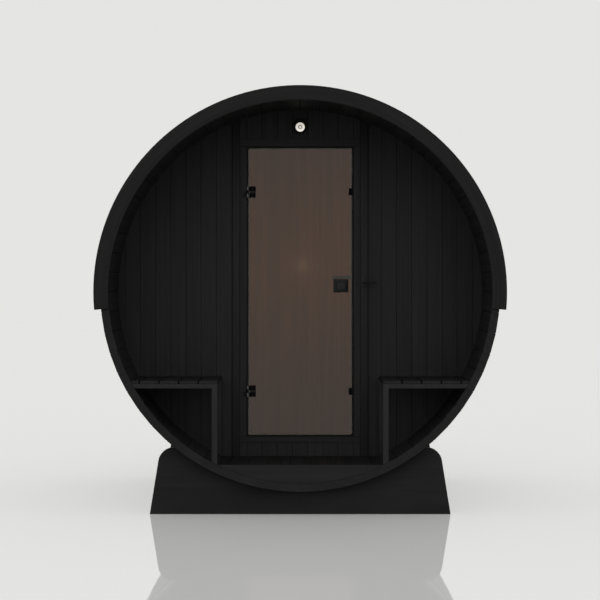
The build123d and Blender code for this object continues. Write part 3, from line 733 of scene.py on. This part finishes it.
# %% Merge and hand over
def merged_copy(node_name, name):
    """Copy of a CAD node with its loose triangles merged into whole flat faces."""
    clear_selection()
    piece = nodes[node_name].copy()
    piece.data = nodes[node_name].data.copy()
    piece.parent = None
    for key in list(piece.keys()):
        del piece[key]
    piece.name = piece.data.name = name
    bpy.context.scene.collection.objects.link(piece)
    only(piece)
    bpy.ops.object.mode_set(mode="EDIT")
    bpy.ops.mesh.select_all(action="SELECT")
    bpy.ops.mesh.remove_doubles(threshold=0.02 * MM)
    bpy.ops.mesh.dissolve_limited(angle_limit=radians(0.5))
    bpy.ops.object.mode_set(mode="OBJECT")
    return piece


def hand_over(piece, finish, body, replaced=(), smooth=35):
    """Gives a finished piece its material, its smooth shading and its body."""
    only(piece)
    piece.data.materials.clear()
    piece.data.materials.append(finish)
    bpy.ops.object.shade_smooth_by_angle(angle=radians(smooth))
    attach(piece, body)
    if replaced:
        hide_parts(*replaced)
    print(f"{piece.name}: {len(piece.data.polygons)} faces")


print("faces in the door's glass before it is merged:", len(nodes["door_glass"].data.polygons))

# %% [markdown]
# ## Eased timber
# Planed boards leave the mill with their edges taken off by a millimetre or two, and it is
# that narrow soft edge that catches the light on black wood. The boards that show their
# edges are remade from the frame's own shapes: a copy is merged, its edges are bevelled, and
# it stands in for the node. The table gives each board's wood and its bevel in millimetres.

# %% Eased boards
EASED_BOARDS = {
    "bench_left_seat": (seat_wood, 2.5), "bench_right_seat": (seat_wood, 2.5),
    "bench_left_frame": (bench_wood, 1.5), "bench_right_frame": (bench_wood, 1.5),
    "cover_batten_left": (upright_wood, 1.0), "cover_batten_right": (upright_wood, 1.0),
    "fascia_front": (arch_wood, 3), "fascia_rear": (arch_wood, 3),
    "cradle_front": (cradle_wood, 3), "cradle_middle": (cradle_wood, 3),
    "cradle_rear": (cradle_wood, 3),
}
for node_name, (finish, edge) in EASED_BOARDS.items():
    board = ease(merged_copy(node_name, "eased_" + node_name), edge * MM)
    hand_over(board, finish, "sauna", [node_name])

# %% [markdown]
# ## The glass
# Toughened glass has its edges ground and polished before it is heated, because a chip
# there would shatter the pane. The bevel is a millimetre wide on every edge.

# %% Door glass
glass_low, glass_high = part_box("door_glass")
pane = ease(merged_copy("door_glass", "door_pane"), 1 * MM)
hand_over(pane, bronze_glass, "door", ["door_glass"], smooth=20)

# %% [markdown]
# ## The seal
# A rubber strip runs round the frame's stop, and the glass closes towards it. It is a closed
# loop of four straight runs, so a flat ring is drawn first: a plane the size of the loop is
# inset by the strip's width and its middle is deleted. Solidify then gives the thickness.

# %% Door seal
SEAL_W = 13 * MM
SEAL_T = 4.2 * MM
SEAL_GAP = 0.5 * MM
DOOR_GAP = 10 * MM
STOP_DEPTH = 8 * MM
STOP_Y = glass_high.y + STOP_DEPTH
seal_half = glass_high.x + DOOR_GAP - SEAL_GAP
seal_low_z = glass_low.z - DOOR_GAP + SEAL_GAP
seal_high_z = glass_high.z + DOOR_GAP - SEAL_GAP
seal = primitive("plane", "door_seal", (2 * seal_half, seal_high_z - seal_low_z, 1), size=1,
                 location=(0, STOP_Y, (seal_low_z + seal_high_z) / 2), rotation=(pi / 2, 0, 0))
pick(seal, "FACE", lambda middle, normal: True)
bpy.ops.mesh.inset(thickness=SEAL_W, depth=0)
bpy.ops.mesh.delete(type="FACE")
bpy.ops.object.mode_set(mode="OBJECT")
thickness = seal.modifiers.new("strip", "SOLIDIFY")
thickness.thickness = SEAL_T
thickness.offset = 1
bpy.ops.object.modifier_apply(modifier=thickness.name)
hand_over(ease(seal, 1.6 * MM, segments=3), rubber, "sauna")

# %% [markdown]
# ## Screws
# The boards of the seats, the floor and the roof are held by countersunk screws with black
# heads. One is modelled at the origin, with a socket sunk into its head, and copied to each
# place. The head's top stands a little over the origin, and a screw is set in by almost as
# much, so its top comes level with the wood's face.

# %% A countersunk screw
HEAD_T = 2 * MM
HEAD_TOP = 0.3 * MM
SOCKET_DEPTH = 1 * MM
SCREW_SET = 0.25 * MM


def socket_screw(name, head_r):
    """Screw head facing +Z with a bevelled rim and a round socket."""
    screw = primitive("cylinder", name, vertices=18, radius=head_r, depth=HEAD_T,
                      location=(0, 0, HEAD_TOP - HEAD_T / 2))
    pick(screw, "FACE", lambda middle, normal: normal.z > 0.9)
    bpy.ops.mesh.inset(thickness=head_r * 0.5, depth=0)
    bpy.ops.mesh.extrude_region_move(TRANSFORM_OT_translate={"value": (0, 0, -SOCKET_DEPTH)})
    pick(screw, "EDGE", lambda a, b: min(a.z, b.z) > HEAD_TOP - 0.1 * MM
         and min(a.xy.length, b.xy.length) > 0.9 * head_r)
    bpy.ops.mesh.bevel(offset=0.4 * MM, segments=2, affect="EDGES")
    bpy.ops.object.mode_set(mode="OBJECT")
    return screw


wood_screw = socket_screw("wood_screw", 4.5 * MM)
print("one screw:", len(wood_screw.data.polygons), "faces")

# %% [markdown]
# The screws of the floor and the seats stand in pairs over the bearers and rails below. All
# of those are sawn 45 mm wide, like the battens of the roof, and a screw bites best in the
# middle of one.

# %% Screws in the seats
UP = (0, 0, 1)
SEAT_BOARDS = 4
SEAT_SCREW_HALF = 30 * MM
FIRST_BOARD_MIDDLE = 52 * MM
TIMBER_HALF_W = 22.5 * MM
places = []
for seat, side in (("bench_left_seat", -1), ("bench_right_seat", 1)):
    low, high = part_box(seat)
    inner = low.x if side > 0 else -high.x
    for index in range(SEAT_BOARDS):
        middle = side * (inner + FIRST_BOARD_MIDDLE + index * SEAT_PITCH)
        for y in (FRONT_Y + TIMBER_HALF_W, WALL_FRONT_Y - TIMBER_HALF_W):
            for offset in (-SEAT_SCREW_HALF, SEAT_SCREW_HALF):
                places.append(standing((middle + offset, y, high.z - SCREW_SET), UP))
hand_over(copies(wood_screw, places, "seat_screws"), black_coat, "sauna")

# %% Screws in the porch floor
FLOOR_SCREW_HALF = 35 * MM
FLOOR_BOARDS_ASIDE = 3
BEARER_INSET = 50 * MM
floor_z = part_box("porch_floor")[1].z
places = []
for index in range(-FLOOR_BOARDS_ASIDE, FLOOR_BOARDS_ASIDE + 1):
    for y in (FRONT_Y + BEARER_INSET, WALL_FRONT_Y - TIMBER_HALF_W):
        for offset in (-FLOOR_SCREW_HALF, FLOOR_SCREW_HALF):
            places.append(standing((index * FLOOR_PITCH + offset, y, floor_z - SCREW_SET), UP))
hand_over(copies(wood_screw, places, "porch_floor_screws"), black_coat, "sauna")

# %% [markdown]
# The roof boards are screwed to the arched battens under them, two screws to each crossing.
# A board is flat, so its face lies nearer the axis than the arch through its edges does.

# %% Screws in the roof
ROOF_SCREW_HALF = 32 * MM
batten_low, batten_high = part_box("roof_battens")
ROOF_FLAT_R = (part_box("roof_boards_3")[1].z - AXIS_Z) * cos(ROOF_BOARD_ANGLE / 2)
places = []
for index in range(ROOF_BOARDS):
    turn = -ROOF_OVERHANG + (index + 0.5) * ROOF_BOARD_ANGLE
    out = Vector((cos(turn), 0, sin(turn)))
    along = Vector((-sin(turn), 0, cos(turn)))
    for y in (batten_low.y + TIMBER_HALF_W, 0, batten_high.y - TIMBER_HALF_W):
        for offset in (-ROOF_SCREW_HALF, ROOF_SCREW_HALF):
            point = out * (ROOF_FLAT_R - SCREW_SET) + along * offset
            places.append(standing(point + Vector((0, y, AXIS_Z)), out))
hand_over(copies(wood_screw, places, "roof_screws"), black_coat, "sauna")
bpy.data.objects.remove(wood_screw)

# %% [markdown]
# ## Hinges
# Each hinge holds the glass between an outer plate and an inner one. In the photograph the
# outer side shows as two dark blocks, one over the other, each with an upright line in it,
# and a grey steel knuckle beside each block. So the outer plate carries four small blocks,
# with narrow gaps between them where the paler plate shows. The pin stands on the axis that
# the frame's joint turns about.

# %% Measures of the hinges
CLAMP_W = 37 * MM
CLAMP_H = 67 * MM
CLAMP_T = 10 * MM
CLAMP_GAP = 11 * MM
CLAMP_INSET = 7.5 * MM
CLAMP_EDGE_W = 1.6 * MM
CLAMP_EDGE_DROP = 1.2 * MM
GROOVE_W = 3 * MM
INNER_PLATE_T = 3 * MM
OUTER_PLATE_T = 1 * MM
HINGE_X = -314 * MM
HINGE_Y = -620 * MM
clamp_low_x = glass_low.x + CLAMP_INSET
block_w = (CLAMP_W - GROOVE_W) / 2
block_h = (CLAMP_H - CLAMP_GAP) / 2
hinge_low, hinge_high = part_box("door_glass_hinges")
hinge_zs = (hinge_low.z + CLAMP_H / 2, hinge_high.z - CLAMP_H / 2)
print("hinges at heights", [round(z, 3) for z in hinge_zs])


# %% Hinge clamps
def clamp_block(low_x, low_z):
    """Block on the outer plate, its upright front edges bevelled and the rest just eased."""
    front_y = glass_low.y - CLAMP_T
    piece = block("clamp", (low_x, front_y, low_z),
                  (low_x + block_w, glass_low.y - OUTER_PLATE_T, low_z + block_h))
    pick(piece, "FACE", lambda middle, normal: normal.y < -0.9)
    bpy.ops.mesh.inset(thickness=CLAMP_EDGE_W, depth=0)
    pick(piece, "VERT", lambda corner: corner.y < front_y + 1e-6
         and (abs(corner.x - low_x) < 1e-6 or abs(corner.x - low_x - block_w) < 1e-6))
    bpy.ops.transform.translate(value=(0, CLAMP_EDGE_DROP, 0))
    bpy.ops.object.mode_set(mode="OBJECT")
    return ease(piece, 0.4 * MM)


clamps, plates = [], []
for hinge_z in hinge_zs:
    for low_x in (clamp_low_x, clamp_low_x + block_w + GROOVE_W):
        for low_z in (hinge_z - CLAMP_H / 2, hinge_z + CLAMP_GAP / 2):
            clamps.append(clamp_block(low_x, low_z))
    for low_y, high_y in ((glass_low.y - OUTER_PLATE_T, glass_low.y),
                          (glass_high.y, glass_high.y + INNER_PLATE_T)):
        plate = block("plate", (clamp_low_x, low_y, hinge_z - CLAMP_H / 2),
                      (clamp_low_x + CLAMP_W, high_y, hinge_z + CLAMP_H / 2))
        plates.append(ease(plate, 0.3 * MM, segments=1))
hand_over(join(clamps, "hinge_clamps"), deep_coat, "door", ["door_glass_hinges"])
hand_over(join(plates, "hinge_plates"), pale_coat, "door")

# %% [markdown]
# Beside each block sits a short steel sleeve, and black bushes keep the two sleeves apart on
# the pin. The upper sleeve and bush are on the glass and turn with it. The lower ones and the
# pin stay on the jamb, carried by a black leaf. A sleeve is a cylinder whose two ends are
# inset to the bore's radius and then bridged, which opens the bore right through.

# %% Measures of the knuckles
KNUCKLE_R = 9 * MM
KNUCKLE_H = 30 * MM
KNUCKLE_GAP = 5 * MM
PIN_R = 4 * MM
BORE_R = 4.08 * MM
BUSH_R = 0.8 * KNUCKLE_R
BUSH_H = 8 * MM
ARM_FRONT = 14 * MM
ARM_BACK = 5.5 * MM
ARM_BITE = 2 * MM
BORE_MARGIN = 5 * MM
END_MARGIN = 1 * MM
LEAF_W = 27 * MM
LEAF_T = 3 * MM


def knuckle(name, low_z, high_z, outer_r, bore_r):
    """Sleeve or bush round the hinge pin, bored right through and with bevelled ends."""
    barrel = primitive("cylinder", name, vertices=40, radius=outer_r, depth=high_z - low_z,
                       location=(HINGE_X, HINGE_Y, (low_z + high_z) / 2))
    pick(barrel, "FACE", lambda middle, normal: abs(normal.z) > 0.9)
    bpy.ops.mesh.inset(thickness=outer_r - bore_r, depth=0)
    bpy.ops.mesh.bridge_edge_loops()
    centre = Vector((HINGE_X, HINGE_Y))
    pick(barrel, "EDGE", lambda a, b: abs(a.z - b.z) < 1e-6
         and min((a.xy - centre).length, (b.xy - centre).length) > 0.95 * outer_r)
    bpy.ops.mesh.bevel(offset=0.8 * MM, segments=2, affect="EDGES")
    bpy.ops.object.mode_set(mode="OBJECT")
    return barrel


print("play round the pin:", round((BORE_R - PIN_R) / MM, 2), "mm")

# %% Knuckles on the glass
sleeves, arms = [], []
for hinge_z in hinge_zs:
    low_z = hinge_z + KNUCKLE_GAP / 2
    high_z = low_z + KNUCKLE_H
    sleeves.append(knuckle("glass_sleeve", low_z + BUSH_H, high_z, KNUCKLE_R, BORE_R))
    arms.append(knuckle("glass_bush", low_z, low_z + BUSH_H, BUSH_R, BORE_R))
    arm = block("arm", (HINGE_X + BORE_MARGIN, glass_low.y - ARM_FRONT,
                        low_z + BUSH_H + END_MARGIN),
                (clamp_low_x + ARM_BITE, glass_low.y - ARM_BACK, high_z - END_MARGIN))
    arms.append(ease(arm, 0.8 * MM))
hand_over(join(sleeves, "glass_knuckle_sleeves"), pin_steel, "door")
hand_over(join(arms, "glass_knuckle_arms"), deep_coat, "door")

# %% Knuckles and leaves on the jamb
sleeves, leaves = [], []
for hinge_z in hinge_zs:
    high_z = hinge_z - KNUCKLE_GAP / 2
    low_z = high_z - KNUCKLE_H
    sleeves.append(knuckle("jamb_sleeve", low_z, high_z - BUSH_H, KNUCKLE_R, PIN_R))
    leaves.append(knuckle("jamb_bush", high_z - BUSH_H, high_z, BUSH_R, PIN_R))
    leaf = block("leaf", (HINGE_X + END_MARGIN - LEAF_W, HINGE_Y + KNUCKLE_R, low_z),
                 (HINGE_X + END_MARGIN, HINGE_Y + KNUCKLE_R + LEAF_T, high_z))
    web = block("web", (HINGE_X - KNUCKLE_R, HINGE_Y, low_z + END_MARGIN),
                (HINGE_X - BORE_MARGIN, HINGE_Y + KNUCKLE_R + END_MARGIN, high_z - END_MARGIN))
    pin = primitive("cylinder", "pin", vertices=24, radius=PIN_R,
                    depth=2 * KNUCKLE_H + KNUCKLE_GAP, location=(HINGE_X, HINGE_Y, hinge_z))
    leaves += [ease(leaf, 0.6 * MM), ease(web, 0.6 * MM), ease(pin, 0.8 * MM)]
hand_over(join(sleeves, "jamb_knuckle_sleeves"), pin_steel, "sauna",
          ["door_jamb_hinges"])
hand_over(join(leaves, "jamb_hinge_leaves"), black_coat, "sauna")

# %% Screws in the leaves
TOWARDS_CAMERA = (0, -1, 0)
plate_screw = socket_screw("plate_screw", 3.2 * MM)
LEAF_SCREW_ASIDE = 18 * MM
LEAF_SCREW_HALF = 8 * MM
LEAF_SCREW_PROUD = 0.1 * MM
places = []
for hinge_z in hinge_zs:
    leaf_z = hinge_z - KNUCKLE_GAP / 2 - KNUCKLE_H / 2
    for rise in (-LEAF_SCREW_HALF, LEAF_SCREW_HALF):
        point = (HINGE_X - LEAF_SCREW_ASIDE, HINGE_Y + KNUCKLE_R - LEAF_SCREW_PROUD,
                 leaf_z + rise)
        places.append(standing(point, TOWARDS_CAMERA))
hand_over(copies(plate_screw, places, "hinge_screws"), black_coat, "sauna")

# %% [markdown]
# ## The lamp
# The lamp is a black drum with a rounded rim and an opal cover. The drum's front is inset
# and sunk to seat the cover, and both edges of the rim that is left are bevelled.

# %% Lamp drum
LENS_R = (lens_high.x - lens_low.x) / 2
LENS_PLAY = 1 * MM
DRUM_R = 42 * MM
DRUM_RECESS = 5 * MM
DRUM_BEVEL = 2.2 * MM
DRUM_FRONT_Y = lens_high.y
lamp_z = (lens_low.z + lens_high.z) / 2
drum = primitive("cylinder", "lamp_drum", vertices=72, radius=DRUM_R,
                 depth=WALL_FRONT_Y - DRUM_FRONT_Y, rotation=(pi / 2, 0, 0),
                 location=(0, (WALL_FRONT_Y + DRUM_FRONT_Y) / 2, lamp_z))
pick(drum, "FACE", lambda middle, normal: normal.y < -0.9)
bpy.ops.mesh.inset(thickness=DRUM_R - LENS_R - LENS_PLAY, depth=0)
bpy.ops.mesh.extrude_region_move(TRANSFORM_OT_translate={"value": (0, DRUM_RECESS, 0)})
pick(drum, "EDGE", lambda a, b: max(a.y, b.y) < DRUM_FRONT_Y + 1e-5)
bpy.ops.mesh.bevel(offset=DRUM_BEVEL, segments=4, affect="EDGES")
bpy.ops.object.mode_set(mode="OBJECT")
hand_over(drum, black_coat, "sauna", ["lamp_body"])

# %% [markdown]
# The photograph shows the cover as a cream disc with a darker ring in its middle: that is a
# dished cover with a small boss, whose ring the cover's finish also darkens with painted shade.
# A disc's front face is inset ring by ring, and each ring is moved in or out. The table gives
# each inset as a share of the cover's radius, and the move in millimetres.

# %% Lamp cover
COVER_R = 27 * MM
COVER_SET_BACK = 1 * MM
COVER_SEATED = 4.5 * MM
COVER_RINGS = ((0.10, -1.0), (0.14, 0.6), (0.16, 2.2), (0.10, 1.6), (0.08, -1.4), (0.12, -1.2))
cover_front_y = lens_low.y + COVER_SET_BACK
cover_back_y = DRUM_FRONT_Y + COVER_SEATED
cover = primitive("cylinder", "lamp_cover", vertices=64, radius=COVER_R,
                  depth=cover_back_y - cover_front_y, rotation=(pi / 2, 0, 0),
                  location=(0, (cover_back_y + cover_front_y) / 2, lamp_z - COVER_DROP))
pick(cover, "FACE", lambda middle, normal: normal.y < -0.9)
for inset, sink in COVER_RINGS:
    bpy.ops.mesh.inset(thickness=inset * COVER_R, depth=0)
    bpy.ops.transform.translate(value=(0, sink * MM, 0))
bpy.ops.object.mode_set(mode="OBJECT")
hand_over(cover, opal, "sauna", ["lamp_lens"], smooth=60)

# %% [markdown]
# ## The pull, the catches and the hook
# These are die-cast, so their edges come out of the mould slightly rounded. The pull's knob
# gets a paler coat than its plate: painted light on the knob, painted shade on the plate round it.

# %% The pull
KNOB_W = 57 * MM


def second_finish(piece, finish, test):
    """Puts a second material on the faces whose middle passes the test."""
    piece.data.materials.append(finish)
    for face in piece.data.polygons:
        if test(face.center):
            face.material_index = 1


for node_name in ("door_pull_outer", "door_pull_inner"):
    casting = ease(merged_copy(node_name, "cast_" + node_name), 0.8 * MM, segments=3, angle=20)
    hand_over(casting, black_coat, "door", [node_name])
    low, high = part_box(node_name)
    rim = (high.x - low.x - KNOB_W) / 2 - 1 * MM
    # Painted light: the knob gets the paler coat, so that its plate reads as in its shade.
    second_finish(casting, pale_coat, lambda middle: low.x + rim < middle.x < high.x - rim
                  and low.z + rim < middle.z < high.z - rim)

# %% [markdown]
# Over the pull a flat pale strip lies on the glass and reaches almost to the door's edge. It
# is drawn as satin steel, dark enough to stand out from the glass only a little.

# %% The strip over the pull
STRIP_W = 117 * MM
STRIP_H = 20 * MM
STRIP_T = 2 * MM
STRIP_INSET = 4 * MM
STRIP_TO_PULL = 1 * MM
strip_high_x = glass_high.x - STRIP_INSET
strip_low_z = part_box("door_pull_outer")[1].z + STRIP_TO_PULL
strip = block("pull_strip", (strip_high_x - STRIP_W, glass_low.y - STRIP_T, strip_low_z),
              (strip_high_x, glass_low.y, strip_low_z + STRIP_H))
hand_over(ease(strip, 0.6 * MM), satin_steel, "door")

# %% Catches and hook
clips = ease(merged_copy("door_catches", "cast_door_catches"), 0.5 * MM)
hand_over(clips, deep_coat, "door", ["door_catches"])

HOOK_PLATE_T = 4 * MM
HOOK_SCREW_INSET = 9 * MM
HOOK_TO_FRAME = 13 * MM
hook_low, hook_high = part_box("hook")
bar = ease(merged_copy("hook", "cast_hook"), 1.2 * MM, segments=3)
hand_over(bar, black_coat, "sauna", ["hook"])
second_finish(bar, pale_coat, lambda middle: middle.y > hook_high.y - HOOK_PLATE_T - 1 * MM)
plate_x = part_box("door_frame_head")[1].x + HOOK_TO_FRAME
places = [standing((plate_x, hook_high.y - HOOK_PLATE_T, z), TOWARDS_CAMERA)
          for z in (hook_low.z + HOOK_SCREW_INSET, hook_high.z - HOOK_SCREW_INSET)]
hand_over(copies(plate_screw, places, "hook_screws"), black_coat, "sauna")
bpy.data.objects.remove(plate_screw)

# %% [markdown]
# ## Hoop tensioners
# A steel hoop is drawn tight by a bolt between two lugs that are riveted to its ends. The
# lugs are flat strips bent up from the band. They stand on the flat of one stave below the
# roof's edge, where a spanner can reach them.

# %% One tensioner
LUG_GAP = 56 * MM
LUG_HALF = 16 * MM
LUG_H = 24 * MM
LUG_T = 4 * MM
FOOT_L = 26 * MM
FOOT_T = 3 * MM
RIVET_R = 4 * MM
RIVET_ASIDE = 16 * MM
BOLT_R = 4 * MM
BOLT_H = 13 * MM
BOLT_SPARE = 30 * MM
NUT_R = 7.5 * MM
NUT_T = 6.5 * MM
NUT_ASIDE = 3.3 * MM


def tensioner(name):
    """Two lugs and their bolt on the plane z = 0, the band running along X."""
    parts = []
    for side in (-1, 1):
        start = side * LUG_GAP / 2
        for part, length, high in (("lug", LUG_T, LUG_H), ("foot", FOOT_L, FOOT_T)):
            ends = sorted((start, start + side * length))
            strap = block(part, (ends[0], -LUG_HALF, 0), (ends[1], LUG_HALF, high))
            parts.append(ease(strap, 0.8 * MM))
        rivet_x = start + side * RIVET_ASIDE
        parts.append(primitive("uv_sphere", "rivet", (1, 1, 0.5), segments=12, ring_count=8,
                               radius=RIVET_R, location=(rivet_x, 0, FOOT_T)))
    rod = primitive("cylinder", "rod", vertices=20, radius=BOLT_R, depth=LUG_GAP + BOLT_SPARE,
                    location=(0, 0, BOLT_H), rotation=(0, pi / 2, 0))
    pick(rod, "EDGE", lambda a, b: abs(a.x - b.x) < 1e-6)
    bpy.ops.mesh.bevel(offset=1 * MM, segments=1, affect="EDGES")
    bpy.ops.object.mode_set(mode="OBJECT")
    parts.append(rod)
    for side in (-1, 1):
        nut_x = side * (LUG_GAP / 2 + LUG_T + NUT_ASIDE)
        nut = primitive("cylinder", "nut", vertices=6, radius=NUT_R, depth=NUT_T,
                        rotation=(0, pi / 2, 0), location=(nut_x, 0, BOLT_H))
        parts.append(ease(nut, 0.7 * MM))
    return join(parts, name)


tightener = tensioner("tightener")
print("one tensioner:", len(tightener.data.polygons), "faces")

# %% A tensioner on each hoop
HOOPS = 4
HOOP_HALF_W = 20 * MM
TENSIONER_ANGLE = radians(-21)
hoop_flat_r = HOOP_OUTER_R * cos(STAVE_ANGLE / 2)
hoop_step = (hoops_high.y - hoops_low.y - 2 * HOOP_HALF_W) / (HOOPS - 1)
out = Vector((cos(TENSIONER_ANGLE), 0, sin(TENSIONER_ANGLE)))
along = Vector((-sin(TENSIONER_ANGLE), 0, cos(TENSIONER_ANGLE)))
turn = Matrix((along, (0, -1, 0), out)).transposed().to_4x4()
places = []
for index in range(HOOPS):
    y = hoops_low.y + HOOP_HALF_W + index * hoop_step
    places.append(Matrix.Translation(out * hoop_flat_r + Vector((0, y, AXIS_Z))) @ turn)
hand_over(copies(tightener, places, "hoop_tensioners"), hoop_steel, "sauna")
bpy.data.objects.remove(tightener)
